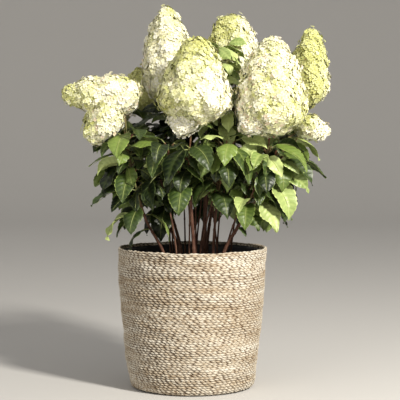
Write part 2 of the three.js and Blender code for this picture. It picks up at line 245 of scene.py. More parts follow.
def rope_piece(name, profile, plies, seed):
    """Turns of rope between the points of a profile. Each turn has four rows of points, and each
    ply of the twist has four columns: its crease, its flanks and its crest. Every point is marked
    with how deep it lies in a crease or in the gap between two turns, and is painted that much darker, a
    painted shade."""
    chance = np.random.default_rng(seed)
    columns = plies * 4
    ring = np.arange(columns)
    step = 2 * math.pi / columns
    slope = np.gradient(profile, axis=0)
    outwards = unit(np.stack([slope[:, 1], -slope[:, 0]], -1))
    points, crease_shade_rows = [], []
    lay = 0
    for turn in range(len(profile) - 1):
        lay += PLY_ADVANCE + chance.normal(0, 0.8)
        whole = math.floor(lay)
        each = ((ring - whole) // 4) % plies
        fatness = chance.uniform(0.78, 1.15, plies)[each]
        loosened = np.clip(chance.normal(0, 0.6, plies), -1.3, 1.3)[each]
        sharp = chance.uniform(0.75, 1.2, plies)[each]
        ply = np.abs(np.sin(math.pi * ((ring - whole) % 4) / 4)) ** 0.7
        slack = np.clip(slow_wave(ring * step, turn * 2.3, 0.30, 9), -0.4, 0.25)
        # pinch narrows the rope at each ply's crease and sets the painted shade there; gap is the painted
        # shade in the groove between two turns.
        pinch = 1 - 0.78 * sharp * (1 - ply * fatness)
        gap = 0.08 + 0.85 * sharp * (1 - 0.72 * ply**2) + slack
        for v in (-1, -0.5, 0.05, 0.6):
            share = (v + 1) / 2
            r, z = profile[turn] * (1 - share) + profile[turn + 1] * share
            normal = outwards[turn] * (1 - share) + outwards[turn + 1] * share
            inner = v > -1
            lean = -TWIST_LEAN * v / max(r, 0.02) * inner
            angle = (ring + (lay - whole + loosened) * inner) * step + lean
            round_off = math.sqrt(1 - 0.94 * v * v) * np.clip(pinch, 0.1, 1.15) * (1 + slack)
            loose = z > SLACK_FROM
            uneven = (bulges(angle, z) + slow_wave(angle, turn, 0.0008, 7)) * loose
            out = GROOVE * (round_off - 0.95) + uneven
            sag = slow_wave(angle, turn, 0.0017, 8) * loose * min(1, max(0, (SAG_END - z) / SAG_FADE))
            points.append(ring_points(angle, r + out * normal[0], z + out * normal[1] + sag))
            crease_shade_rows.append(1 - np.clip(pinch, 0, 1) if inner else gap)
    points.append(ring_points(ring * step, *profile[-1]))
    crease_shade_rows.append(np.ones(columns))
    crease = np.clip(np.concatenate(crease_shade_rows), 0, 1)
    return shape(name, np.concatenate(points), grid_faces(len(points), columns), crease=crease)


foot_turn = np.linspace(0, math.pi / 2, 4)
foot_radii = wall_radius(FOOT_ROUND) - FOOT_ROUND * (1 - np.sin(foot_turn))
foot_heights = np.maximum(FOOT_ROUND * (1 - np.cos(foot_turn)), BASE_HEIGHT)
wall_heights = np.linspace(FOOT_ROUND, BASKET_HEIGHT - RIM_ROUND, WALL_TURNS)[1:]
rim_turn = np.linspace(0, math.pi, 4)[1:]
rim_radii = RIM_RADIUS - RIM_ROUND + RIM_ROUND * np.cos(rim_turn)
rim_heights = BASKET_HEIGHT - RIM_ROUND + RIM_ROUND * np.sin(rim_turn)
inside_radii = [RIM_RADIUS - 0.0075, RIM_RADIUS - 0.0078]
inside_heights = [BASKET_HEIGHT - 0.010, BASKET_HEIGHT - 0.016]
wall_profile = np.stack(
    [
        np.concatenate([foot_radii, wall_radius(wall_heights), rim_radii, inside_radii]),
        np.concatenate([foot_heights, wall_heights, rim_heights, inside_heights]),
    ],
    -1,
)
base_radii = np.linspace(0.004, foot_radii[0], BASE_TURNS)
base_profile = np.stack([base_radii, np.full(BASE_TURNS, BASE_HEIGHT)], -1)

straw = Finish("dry rope", Roughness=0.85, Specular_IOR_Level=0.3)
bands = straw.noise(7, 7, 60, detail=4.0, roughness=0.6)
strand_tint = straw.noise(110, 110, 260, detail=2.0)
tint = straw.ramp(
    bands * 0.55 + strand_tint * 0.45,
    (0.32, (0.31, 0.225, 0.145)),
    (0.43, (0.45, 0.37, 0.265)),
    (0.53, (0.58, 0.52, 0.42)),
    (0.64, (0.70, 0.66, 0.57)),
)
# Deep in a crease or a groove the rope is painted dark brown: a painted shade where little light gets in.
in_crease = straw.carried("crease") ** 1.9 * 1.9
straw.feed("Base Color", straw.mix(in_crease, tint, (0.095, 0.054, 0.027, 1)))
straw.bump(straw.noise(420, 420, 1300, roughness=0.7), 0.0009, 0.8)
wear(rope_piece("basket_wall", wall_profile, PLIES_ROUND, 1), straw, "rope", "basket")
wear(rope_piece("basket_base", base_profile, BASE_PLIES_ROUND, 2), straw, "rope", "basket")


# The liner: a bag of thin black film tucked inside the basket. Its free edge stands a little below
# the rim and waves where the film creases.
FILM_INSIDE = 0.0073
FILM_THICK = 0.0011
FILM_COLUMNS = 240
LINER_TOP = 0.293
OUTSIDE_ROWS = (0.20, 0.25, 0.275, 0.288, LINER_TOP)
INSIDE_ROWS = (LINER_TOP, 0.288, 0.275, 0.22)


def full_turn(count):
    """Angles spaced evenly once round."""
    return np.linspace(0, 2 * math.pi, count, endpoint=False)


around = full_turn(FILM_COLUMNS)
creases = slow_wave(around, 0, 0.0012, 21) + 0.0006 * np.cos(31 * around) * np.cos(5 * around)
film = []
for thick, heights in enumerate((OUTSIDE_ROWS, INSIDE_ROWS)):
    for height in heights:
        z = height + (creases - 0.001) * (height == LINER_TOP)
        fold = 0.0005 * np.cos(23 * around + 40 * z) * thick
        film.append(ring_points(around, wall_radius(z) - FILM_INSIDE - FILM_THICK * thick + fold, z))
black_film = Finish("black film", Roughness=0.42, Base_Color=(0.012, 0.012, 0.014, 1))
black_film.bump(black_film.noise(60, 60, 25, detail=4.0), 0.002, 0.6)
liner_piece = shape("liner_film", np.concatenate(film), grid_faces(len(film), FILM_COLUMNS))
wear(liner_piece, black_film, "liner", "liner")


# The potting soil: dark, crumbly compost with bits of bark, filled to a few fingers below the rim
# and heaped very slightly where the canes come up.
SOIL_TOP = 0.262
SOIL_FOOT = 0.238
SOIL_REACH = wall_radius(SOIL_TOP) - 0.0088
RINGS, SPOKES = 46, 150


def fan(hub, ring):
    """Triangles from one point to each pair of neighbours in a ring of points."""
    return np.stack([np.full(len(ring), hub), ring, np.roll(ring, -1)], -1)


chance = np.random.default_rng(31)
turns = full_turn(SPOKES)
soil = []
for r in np.linspace(0, SOIL_REACH, RINGS)[1:]:
    swell = 0.0012 * np.cos(5 * turns + r * 90) * np.cos(r * 130)
    lump = 0.0016 * (chance.random(SPOKES) - 0.7) + swell
    edge = -0.004 * max(0, (r / SOIL_REACH - 0.9) / 0.1)
    soil.append(ring_points(turns, r, SOIL_TOP - 0.0012 + lump + edge))
soil += [ring_points(turns, SOIL_REACH, SOIL_FOOT), [[0, 0, SOIL_TOP]]]
middle = fan(RINGS * SPOKES, np.arange(SPOKES))
compost = Finish("compost", Roughness=0.95, Specular_IOR_Level=0.2)
crumbs = compost.noise(220, 220, 220, detail=5.0, roughness=0.7)
peat, crumb, bark_bit = (0.012, 0.008, 0.006), (0.035, 0.022, 0.014), (0.085, 0.055, 0.034)
compost.feed("Base Color", compost.ramp(crumbs, (0.35, peat), (0.55, crumb), (0.72, bark_bit)))
compost.bump(crumbs, 0.003, 0.9)
soil_piece = shape("soil_top", np.concatenate(soil), grid_faces(RINGS, SPOKES), middle)
wear(soil_piece, compost, "soil", "soil")


# The canes: woody stems of several years, straight and reddish brown, with fine lengthwise ridges
# and a swollen ring at each old pair of buds. They rise from the soil and lean outwards.
CLEAR = 0.0003
# Each cane's foot, its tip and its thickness, in millimetres.
CANES = {
    "left": ((-57, -30), (-102, -54, 374), 7.2),
    "left_back": ((-22, 8), (-50, 40, 392), 7.6),
    "front": ((4, -42), (-6, -60, 449), 8.6),
    "middle": ((26, -2), (29, 4, 462), 9.6),
    "middle_right": ((44, -24), (53, -32, 420), 6.4),
    "right": ((62, -42), (112, -62, 380), 8.2),
    "right_back": ((68, 14), (132, 40, 402), 7.8),
    "back": ((30, 44), (46, 112, 408), 7.8),
    "back_left": ((-26, 46), (-80, 100, 396), 7.4),
}
UP = np.array([0.0, 0.0, 1.0])
CANE_ROWS, CANE_SIDES = 90, 16


class Path:
    """A curve that leaves its start along one direction and reaches its end along another."""

    def __init__(self, start, leaving, end, arriving):
        handle = 0.36 * np.linalg.norm(end - start)
        a, b = start + leaving * handle, end - arriving * handle
        t = np.linspace(0, 1, 201)[:, None]
        self.points = (1 - t) ** 3 * start + 3 * t * (1 - t) ** 2 * a + 3 * t * t * (1 - t) * b + t**3 * end
        steps = np.linalg.norm(np.diff(self.points, axis=0), axis=1)
        self.walked = np.concatenate([[0], np.cumsum(steps)])
        self.length = self.walked[-1]

    def at(self, share):
        there = np.asarray(share) * self.length
        return np.stack([np.interp(there, self.walked, self.points[:, k]) for k in range(3)], -1)

    def along(self, share):
        return unit(self.at(min(1, share + 0.002)) - self.at(max(0, share - 0.002)))


def tube(points, radii, sides, relief=0.0):
    """Points and faces of a round closed limb through the given points. radii has one value a
    point, and relief adds an array of heights to them, one for each side."""
    along = unit(np.gradient(points, axis=0))
    across = np.zeros_like(along)
    across[0] = unit(np.cross(along[0], [0.31, 0.93, 0.2]))
    for i in range(1, len(points)):
        across[i] = unit(across[i - 1] - along[i] * (across[i - 1] @ along[i]))
    level = np.cross(along, across)
    turn = full_turn(sides)[:, None]
    reach = (np.asarray(radii)[:, None] + relief)[..., None]
    ring = across[:, None] * np.cos(turn) + level[:, None] * np.sin(turn)
    body = (points[:, None] + ring * reach).reshape(-1, 3)
    around = np.arange(sides)
    foot_cap = fan(len(body), around)[:, [0, 2, 1]]
    tip_cap = fan(len(body) + 1, len(body) - sides + around)
    faces = grid_faces(len(points), sides)
    return np.concatenate([body, points[[0, -1]]]), faces, np.concatenate([foot_cap, tip_cap])


class Bundle:
    """Many small meshes gathered into one piece. Its points carry a mark, which on a leaf is its veins
    and its edge, the edge's pale tint being a painted highlight, and on a floret how far a petal's point
    lies from its heart; they also carry the tone of the leaf or floret."""

    def __init__(self):
        self.points = []
        self.faces = {4: [], 3: []}
        self.carried = {"mark": [], "tone": []}
        self.count = 0

    def add(self, points, *faces, **marks):
        for some in faces:
            self.faces[some.shape[1]].append(some + self.count)
        self.points.append(points)
        for word, values in {"mark": 0.0, "tone": 0.5, **marks}.items():
            self.carried[word].append(np.broadcast_to(values, len(points)))
        self.count += len(points)

    def make(self, name):
        faces = [np.concatenate(some) for some in self.faces.values() if some]
        carried = {word: np.concatenate(values) for word, values in self.carried.items()}
        return shape(name, np.concatenate(self.points), *faces, **carried)


def cane_path(name):
    """A cane's middle line: straight up out of the soil, then leaning out to its tip."""
    foot, tip, _ = CANES[name]
    start = np.array([*foot, (SOIL_TOP + CLEAR) * 1000]) / 1000
    end = np.array(tip) / 1000
    return Path(start, UP, end, unit(unit(end - start) * 0.75 + UP * 0.25))


def bud_rings(path, share, first, apart, size, width):
    """How far the swollen rings at the old buds stand out along a stem."""
    rings = np.arange(first, 1, apart / path.length)
    return sum(size * np.exp(-(((share - ring) * path.length / width) ** 2)) for ring in rings)


cane_paths = {name: cane_path(name) for name in CANES}
canes = Bundle()
for number, (name, path) in enumerate(cane_paths.items()):
    chance = np.random.default_rng(40 + number)
    share = np.linspace(0, 1, CANE_ROWS)
    radii = CANES[name][2] / 2000 * (1 - 0.24 * share) * (1 + 0.45 * np.exp(-share * 14))
    radii = radii + bud_rings(path, share, 0.12 + 0.1 * chance.random(), 0.055, 0.0007, 0.0022)
    grain = 0.0002 * (chance.random((CANE_ROWS, CANE_SIDES)) - 0.5)
    ridges = 0.00022 * np.cos(np.arange(CANE_SIDES) * 2.4 + 9 * share[:, None])
    canes.add(*tube(path.at(share), radii - 0.0002, CANE_SIDES, ridges + grain))
bark = Finish("cane bark", Roughness=0.72, Specular_IOR_Level=0.35)
streaks = bark.noise(700, 700, 45, detail=4.0, roughness=0.65)
furrow, red_brown, tan = (0.038, 0.015, 0.010), (0.095, 0.038, 0.023), (0.20, 0.11, 0.066)
bark.feed("Base Color", bark.ramp(streaks, (0.32, furrow), (0.5, red_brown), (0.68, tan)))
bark.bump(streaks, 0.0008, 0.8)
wear(canes.make("canes"), bark, "bark", *["cane_" + name for name in CANES])


# The leafy shoots: this year's growth on the canes. Each is a thin stem with its leaves in opposite
# pairs, every pair square to the one below, and each leaf turns a little towards the light.
HEART = (0.020, 0.010)
SHOOT_RADIUS = 0.0021
SHOOT_TIP_RADIUS = 0.0015
STALK_SEAT = 0.22
BLADE = 0.088
BLADE_WIDTH = 0.54
PETIOLE = 0.2
PETIOLE_RADIUS = 0.0011
PETIOLE_KINK = 0.35
LEAF_THICK = 0.022
FOLD = 0.26
FIRST_PAIR = 0.012
OUTWARD_SWING = math.radians(35)
BETWEEN_LEAVES = 0.0004
BLADE_ROWS = ((0, 0.05), (0.26, 0.9), (0.6, 0.87), (1, 0))
TRIES = (0, 20, -20, 40, -40, 60, -60)

# Each head is its stalk's foot and then its trusses, in millimetres: base, tip and greatest radius.
# A truss of another form goes on with how late it narrows and how pointed its top is.
TAPER, POINT = 1.9, 0.45
HEADS = {
    "tall": ((-43, 56, 590), ((-43, 56, 604), (-58, 42, 815), 63, 1.9, 0.6)),
    "front_left": (
        (-4, -84, 522),
        ((1, -88, 564), (12, -100, 745), 80, 1.3, 0.6),
        ((-10, -92, 606), (-24, -106, 536), 38),
    ),
    "back_middle": ((94, 70, 640), ((91, 70, 652), (84, 60, 801), 62)),
    "front_right": (
        (160, -80, 528),
        ((163, -83, 540), (166, -90, 742), 77, 1.9, 0.6),
        ((148, -94, 596), (106, -128, 546), 35),
    ),
    "right": ((246, 46, 586), ((248, 49, 600), (260, 50, 768), 46)),
    "low_right": ((214, -18, 540), ((222, -20, 560), (294, -34, 544), 31)),
    "left": (
        (-138, -58, 548),
        ((-108, -60, 622), (-271, -70, 624), 45),
        ((-162, -68, 606), (-212, -88, 526), 42),
    ),
    "left_back": ((-108, 126, 570), ((-110, 128, 582), (-124, 148, 690), 36)),
    "far_left": ((-138, 92, 560), ((-146, 96, 572), (-214, 124, 634), 36)),
    "back": ((22, 160, 562), ((22, 162, 578), (23, 188, 715), 50)),
    "right_back": ((182, 124, 548), ((186, 129, 564), (200, 164, 702), 47)),
    "low_back": ((116, 152, 512), ((120, 158, 524), (138, 226, 578), 34)),
}

# Each shoot's cane, how many millimetres below the cane's tip it leaves, and the heading of its
# first leaf. It ends in the flower head of its own name, or in a leafy tip at the place given.
SHOOTS = {
    "tall": ("left_back", 0, 20),
    "front_left": ("front", 0, 70),
    "back_middle": ("middle", 0, 130),
    "front_right": ("right", 0, 60),
    "right": ("right_back", 0, 10),
    "left": ("left", 0, 100),
    "back": ("back", 0, 40),
    "left_back": ("back_left", 0, 110),
    "upright": ("middle_right", 0, 5, (58, -2, 726)),
    "low_right": ("right_back", 16, 150),
    "right_back": ("right_back", 34, 80),
    "low_back": ("back", 16, 0),
    "far_left": ("back_left", 16, 30),
    "front_inner": ("middle_right", 18, 75, (72, -84, 528)),
    "front_low": ("front", 18, 95, (-56, -100, 524)),
    "left_low": ("left", 14, 15, (-132, -20, 492)),
    "left_inner": ("left_back", 18, 60, (-96, -6, 540)),
    "right_low": ("right", 26, 120, (176, -70, 492)),
    "back_low": ("back", 34, 85, (20, 190, 484)),
    "back_left_low": ("back_left", 34, 140, (-136, 146, 482)),
}

# The size of a shoot's leaves, the length between its pairs and the length of its bare tip.
USUAL = (1, 0.039, 0.012)
OWN_WAYS = {"right": (1, 0.039, 0.110), "upright": (0.7, 0.042, 0.004)}


def seeded(seed):
    """Numbers from 0 to 1, the same on every run and in the solids' own source."""
    state = seed
    while True:
        state = (state * 1664525 + 1013904223) & 0xFFFFFFFF
        yield state / 4294967296


def truss_frame(truss):
    """A truss's start, length and directions along, across and up."""
    base, tip = np.array(truss[0]) / 1000, np.array(truss[1]) / 1000
    length = np.linalg.norm(tip - base)
    along = (tip - base) / length
    across = unit(np.cross([0, 1, 0], along))
    return base, length, along, across, np.cross(across, along)


def on_axis(truss, share):
    """The place at a share of a truss's length."""
    base, length, along, _, _ = truss_frame(truss)
    return base + along * length * share


def shoot_path(name):
    """A shoot's middle line, from its cane to the stalk of its flower head or to its leafy tip."""
    cane_name, below, _, *leafy_tip = SHOOTS[name]
    cane = cane_paths[cane_name]
    share = 1 - below / 1000 / cane.length
    start, leaving = cane.at(share), cane.along(share)
    end = np.array(leafy_tip[0] if leafy_tip else HEADS[name][0]) / 1000
    if below:
        leaving = unit(unit(end - start) * 1.1 - UP * 0.1)
    else:
        start = start + leaving * CLEAR
    arriving = unit(unit(end - start) * 0.25 + UP * 0.75)
    if not leafy_tip:
        arriving = unit(on_axis(HEADS[name][1], STALK_SEAT) - end)
        end = end - arriving * CLEAR
    return Path(start, leaving, end, arriving)


def leaf_places(leaf, s):
    """Centres and directions along, across and up at shares s of a leaf's blade."""
    outward = np.array([math.cos(leaf["turn"]), math.sin(leaf["turn"]), 0])
    first = leaf["lift"] - PETIOLE_KINK
    blade = BLADE * leaf["size"]
    raised = outward * math.cos(leaf["lift"]) + UP * math.sin(leaf["lift"])
    base = leaf["root"] + raised * blade * PETIOLE
    pitch = first - leaf["droop"] * np.asarray(s, float)[:, None]
    bend = blade / leaf["droop"]
    reach, rise = math.sin(first) - np.sin(pitch), np.cos(pitch) - math.cos(first)
    centre = base + outward * bend * reach + UP * bend * rise
    along = outward * np.cos(pitch) + UP * np.sin(pitch)
    level = -outward * np.sin(pitch) + UP * np.cos(pitch)
    up = level * math.cos(leaf["roll"]) + np.cross(along, level) * math.sin(leaf["roll"])
    return centre, along, np.cross(along, up), up


def leaf_block(leaf, grown=0.0, bare=0.0):
    """A leaf as the plain four-sided solid of the source, thickened, with its box and its faces."""
    blade = BLADE * leaf["size"]
    centre, along, across, up = leaf_places(leaf, [s for s, _ in BLADE_ROWS])
    widths = np.array([blade * BLADE_WIDTH * width / 2 for _, width in BLADE_ROWS])
    thick = np.array([blade * LEAF_THICK / 2 if width else 0 for _, width in BLADE_ROWS])
    start = leaf["root"] * (1 - bare) + centre[:1] * bare
    _, _, first_across, first_up = leaf_places({**leaf, "lift": leaf["lift"] + PETIOLE_KINK}, [0])
    centre = np.concatenate([start, centre])
    across = np.concatenate([first_across, across])
    up = np.concatenate([first_up, up])
    rise = up * np.append(0, widths * FOLD)[:, None]
    side = across * (np.append(PETIOLE_RADIUS, widths) + grown)[:, None]
    face = up * (np.append(PETIOLE_RADIUS, thick) + grown)[:, None]
    ring = [centre + face, centre + side + rise, centre - face, centre - side + rise]
    faces = grid_faces(len(centre), 4).tolist() + [[3, 2, 1, 0]]
    return block(np.stack(ring, 1).reshape(-1, 3), faces)


def block(points, faces):
    """The room that something takes up: its box and its faces."""
    return points.min(0), points.max(0), BVHTree.FromPolygons(points.tolist(), faces)


def limb_block(path, radii, sides):
    points, quads, caps = tube(path.at(np.linspace(0, 1, len(radii))), radii, sides)
    return block(points, quads.tolist() + caps.tolist())


def solid_block(node):
    mesh = solids[node].data
    points = np.array([v.co for v in mesh.vertices])
    return block(points, [list(p.vertices) for p in mesh.polygons])


def clear_of(this, others):
    """Whether a block meets none of the others."""
    low, high, tree = this
    return not any(
        (low <= other[1]).all() and (other[0] <= high).all() and tree.overlap(other[2]) for other in others
    )


def seat_at(root, turn, lift, droop, roll, size):
    """Where a leaf sits, its heading and size, and how it bends, from bends in degrees."""
    bends = {"lift": math.radians(lift), "droop": math.radians(droop), "roll": math.radians(roll)}
    return {"root": root, "turn": turn, "size": size, **bends}


def leaf_seats(name, numbers):
    """The seats of a shoot's leaves, in opposite pairs up its stem."""
    path = shoot_paths[name]
    usual_size, between, bare = OWN_WAYS.get(name, USUAL)
    leafy = path.length - FIRST_PAIR - bare
    pairs = max(1, round(leafy / between))
    for i in range(pairs + 1):
        root = path.at((FIRST_PAIR + leafy * i / pairs) / path.length)
        outside = math.atan2(root[1] - HEART[1], root[0] - HEART[0])
        for side in (0, 180):
            turn = math.radians(SHOOTS[name][2] + i * 90 + side + (next(numbers) - 0.5) * 30)
            heading = turn + OUTWARD_SWING * math.sin(outside - turn)
            lift, droop, roll = -8 + next(numbers) * 28, 38 + next(numbers) * 42, (next(numbers) - 0.5) * 40
            size = usual_size * (0.8 + 0.3 * next(numbers))
            yield seat_at(root, heading, lift, droop, roll, size)


# The room that is taken, each block with the name of what it belongs to. A shoot's own stem is the
# first of its blocks.
taken = [(node, solid_block(node)) for node in solids if not node.startswith("shoot_")]
shoot_paths = {name: shoot_path(name) for name in SHOOTS}
stem_radii = np.linspace(SHOOT_RADIUS, SHOOT_TIP_RADIUS, 7)
taken += [(name, limb_block(path, stem_radii, 5)) for name, path in shoot_paths.items()]
leaves = []
PAST_BOX = 0.004
LOWEST, HIGHEST = np.array(solid_box[0]) - PAST_BOX, np.array(solid_box[1]) + PAST_BOX
HEM, HEM_ARCH, ARCH_REACH = 0.350, 0.060, 0.085


def neighbours(name):
    """The blocks of a stem's own leaves, and of everything that isn't on that stem."""
    blades = [each for owner, each in taken if owner == name][1:]
    return blades, [each for owner, each in taken if owner != name]


def hem(blade):
    """How far down the young leaves may hang: least in the middle, where the canes stand open."""
    middle = (blade[0][0] + blade[1][0]) / 2 - HEART[0]
    return HEM + HEM_ARCH * math.exp(-((middle / ARCH_REACH) ** 2))


def grow(seat, name, blades, others, tries=TRIES, young=True):
    """Adds a leaf turned to the first direction that has room for it, or drops it."""
    for turn in tries:
        leaf = {**seat, "turn": seat["turn"] + math.radians(turn), "shoot": name}
        leaf["droop"] = seat["droop"] + math.radians(abs(turn) / 4)
        blade = leaf_block(leaf, BETWEEN_LEAVES, 0.4)
        within = (blade[0] > LOWEST).all() and (blade[1] < HIGHEST).all()
        within = within and (blade[0][2] > hem(blade) or not young)
        if within and clear_of(blade, blades) and clear_of(leaf_block(leaf, BETWEEN_LEAVES), others):
            blades.append(blade)
            taken.append((name, leaf_block(leaf)))
            leaves.append(leaf)
            return True
    return False


for number, name in enumerate(SHOOTS):
    blades, others = neighbours(name)
    for seat in leaf_seats(name, seeded(7 + number)):
        grow(seat, name, blades, others, young=False)
main_leaves = list(leaves)

# Finer twigs grow between the pairs and lower down on the canes, on the same rule: each is short,
# points out and upwards, and ends in a pair of young leaves.
TWIG_RADIUS = 0.0011
TWIG_LENGTHS = (0.008, 0.030)
TWIG_RISES = (15, 60)
TWIG_TRIES = (0, 25, -25, 50, -50, 80)
twigs = []


def grow_twigs(name, path, first, last, turn, spacing, sizes, chance):
    """Grows opposite twigs along a stem, from first to last along it. The higher ones hold their
    leaves up, the lower ones let them hang."""
    blades, others = neighbours(name)
    walked = first
    while walked < last:
        root = path.at(walked / path.length)
        for side in (0, math.pi):
            heading = turn + side + chance.uniform(-0.5, 0.5)
            rise = math.radians(chance.uniform(*TWIG_RISES))
            flat = math.cos(rise)
            out = np.array([math.cos(heading) * flat, math.sin(heading) * flat, math.sin(rise)])
            tip = root + out * chance.uniform(*TWIG_LENGTHS)
            grown = []
            for leaf_side in (-0.6, 0.6):
                away = heading + leaf_side + chance.uniform(-0.3, 0.3)
                lift = chance.uniform(-30, 20) + 30 * walked / path.length
                droop, roll, size = chance.uniform(20, 90), chance.uniform(-60, 60), chance.uniform(*sizes)
                seat = seat_at(tip, away, lift, droop, roll, size)
                grown.append(grow(seat, name, blades, others, TWIG_TRIES))
            if any(grown):
                twigs.append((root, tip))
        walked += spacing * chance.uniform(0.8, 1.25)
        turn += math.pi / 2


# A few single leaves fill the crown under the flower heads and beside the upright shoot. After the
# shoot's name, each is its share of the shoot's length, heading, lift, droop, roll and size.
HIGH_LEAVES = (
    ("tall", (0.93, 205, 42, 50, 0, 0.62), (0.82, 250, 30, 55, 10, 0.66)),
    ("left_inner", (1.0, 252, 45, 60, 10, 0.70), (1.0, 130, 40, 50, 0, 0.60)),
    ("left", (0.94, 40, 50, 45, 0, 0.60), (0.80, -60, 25, 60, 8, 0.62)),
    ("left_back", (0.90, 285, 40, 60, 0, 0.62)),
    ("front_low", (1.0, 160, 48, 55, 0, 0.62)),
    ("front_inner", (1.0, -20, 48, 55, 0, 0.60), (1.0, 200, 44, 60, 0, 0.58)),
    ("right", (0.72, 250, 35, 60, 0, 0.60)),
    ("back_middle", (0.86, 240, 40, 50, 0, 0.60)),
    ("left_back", (0.98, 262, 74, 30, 0, 0.70), (0.96, 225, 66, 30, 0, 0.70)),
    ("left", (0.99, 70, 66, 30, 0, 0.62), (0.97, 20, 60, 30, 0, 0.60)),
    ("upright", *((0.52 + 0.05 * k, -90 + 64 * (-1) ** k + 12 * k, 18, 78, 0, 0.50) for k in range(9))),
)
for name, *places in HIGH_LEAVES:
    for share, turn, *bends in places:
        seat = seat_at(shoot_paths[name].at(share * 0.985), math.radians(turn), *bends)
        grow(seat, name, *neighbours(name))

# A few more sit low on the outer canes, given in the same way.
LOW_LEAVES = (
    ("left", (0.70, 196, 4, 60, 12, 0.68), (0.96, 168, 4, 62, -14, 0.78)),
    ("right", (0.94, -14, 16, 66, 10, 0.64), (0.84, 216, 12, 60, -8, 0.52), (0.70, -58, 8, 55, 0, 0.36)),
    ("back", (0.80, 82, 10, 60, 8, 0.66)),
    ("back_left", (0.84, 140, 6, 60, -10, 0.70)),
    ("right_back", (0.86, 22, 10, 62, 12, 0.66)),
)
for name, *places in LOW_LEAVES:
    for share, turn, *bends in places:
        others = [each for owner, each in taken if owner != "cane_" + name]
        seat = seat_at(cane_paths[name].at(share), math.radians(turn), *bends)
        grow(seat, "low " + name, [], others, young=False)

# Thin canes of the last two years stand among the old ones, wherever there is room between the
# leaves, and end in a leafy twig or two.
YOUNG_CANES = 14
YOUNG_RADIUS = 0.0017
YOUNG_ROOM = np.linspace(0.0065, 0.0015, 9)
YOUNG_TRIES = 60
YOUNG_REACH, YOUNG_HEIGHTS = (0.012, 0.105), (0.16, 0.25)
FRONT_KEPT_BARE = -0.055
chance = np.random.default_rng(61)
young_paths = []
for number in range(YOUNG_CANES):
    for attempt in range(YOUNG_TRIES):
        away, heading = chance.uniform(*YOUNG_REACH), chance.uniform(0, 2 * math.pi)
        side = np.array([math.cos(heading), math.sin(heading), 0.0])
        start = np.array([0.006, 0.0, SOIL_TOP - 0.001]) + side * away
        if start[1] < FRONT_KEPT_BARE:
            continue
        rise = chance.uniform(*YOUNG_HEIGHTS) * (1 - attempt / 200)
        end = start + side * rise * chance.uniform(0.1, 0.45) + np.array([chance.normal(0, 0.012), 0, rise])
        path = Path(start, unit(UP + side * 0.1), end, unit(UP + side * 0.5))
        limb = limb_block(path, YOUNG_RADIUS + YOUNG_ROOM, 6)
        if clear_of(limb, [each for _, each in taken if each[0][2] > SOIL_TOP - 0.0005]):
            young_paths.append(path)
            taken.append(("young %d" % number, limb))
            break

chance = np.random.default_rng(55)
for name, path in shoot_paths.items():
    size, _, bare = OWN_WAYS.get(name, USUAL)
    last, turn = path.length - bare, math.radians(SHOOTS[name][2] + 45)
    grow_twigs(name, path, 0.012, last, turn, 0.025, (0.55 * size, 0.90 * size), chance)
    grow_twigs(name, path, 0.5 * path.length, last, turn + 1.1, 0.026, (0.42 * size, 0.75 * size), chance)
for number, path in enumerate(young_paths):
    first, turn = max(0.08, path.length - 0.05), chance.uniform(0, 3)
    grow_twigs("young %d" % number, path, first, path.length, turn, 0.03, (0.4, 0.7), chance)

# A leaf's outline is an egg with a drawn-out tip and a toothed edge. Between its side veins, which
# run out and forwards, the blade is quilted: each quilt has a vein's valley and two rows of ridge.
OUTLINE = (
    (0, 0.04, 0.10, 0.20, 0.33, 0.46, 0.60, 0.73, 0.84, 0.92, 0.97, 1),
    (0.03, 0.22, 0.48, 0.78, 0.96, 0.97, 0.85, 0.64, 0.38, 0.17, 0.07, 0.0),
)
QUILTS = 8
QUILT_ROWS = np.array([0, 0.3, 0.7])
COLUMNS = np.array([-1, -0.92, -0.6, -0.3, 0, 0.3, 0.6, 0.92, 1])


def fine_leaf(leaf, chance, quilts=QUILTS):
    """A leaf's blade as a quilted sheet, marked along its veins and along its edge, whose pale tint is a
    painted highlight.
    """
    blade = BLADE * leaf["size"]
    rows = np.append(((np.arange(quilts)[:, None] + QUILT_ROWS) / quilts).ravel(), 1)[:, None]
    ridge = np.append(np.tile([0, 1, 1], quilts), 0)[:, None]
    w = COLUMNS[None, :]
    half_way = np.abs(w)
    sweep = 0.14 * half_way**1.2 * np.sin(math.pi * rows**0.8)
    s = np.clip(rows * 0.9 + sweep + 0.1 * rows**2, 0, 1)
    tooth = 1 + 0.10 * (ridge - 0.5) * (half_way == 1) * (rows < 0.97)
    half = blade * BLADE_WIDTH / 2 * np.interp(s, *OUTLINE) * tooth
    centre, along, across, up = leaf_places(leaf, s.ravel())
    quilt = 0.027 * blade * ridge * (1 - (2 * half_way - 1) ** 2) * np.sin(math.pi * rows**0.7)
    phase, pace, size = chance.uniform(0, 6), chance.uniform(6, 14), chance.uniform(0.015, 0.065)
    wave = blade * size * np.sin(rows * pace + phase + 1.5 * w)
    twist = chance.uniform(-0.45, 0.45) * rows * w
    cupped = chance.uniform(-0.50, 0.20) * w**2
    curl = blade * chance.uniform(-0.14, 0.08) * rows**3
    lift = half * (FOLD * half_way**1.1 + twist + cupped) + quilt + wave * w**2 + curl
    lopsided = 1 + chance.uniform(-0.08, 0.08) * w
    points = centre + across * (w * half * lopsided).reshape(-1, 1) + up * lift.reshape(-1, 1)
    # The midrib and side veins are marked for their own paler green; the edge is marked most, for a painted
    # highlight along it.
    rib_and_painted_edge_light = np.maximum(0.5 * (half_way == 0), 1.5 * (half_way == 1))
    veins = np.maximum(0.28 * (1 - ridge) * (half_way < 0.8), rib_and_painted_edge_light)
    return points, grid_faces(len(rows), len(COLUMNS), closed=False), veins.ravel()
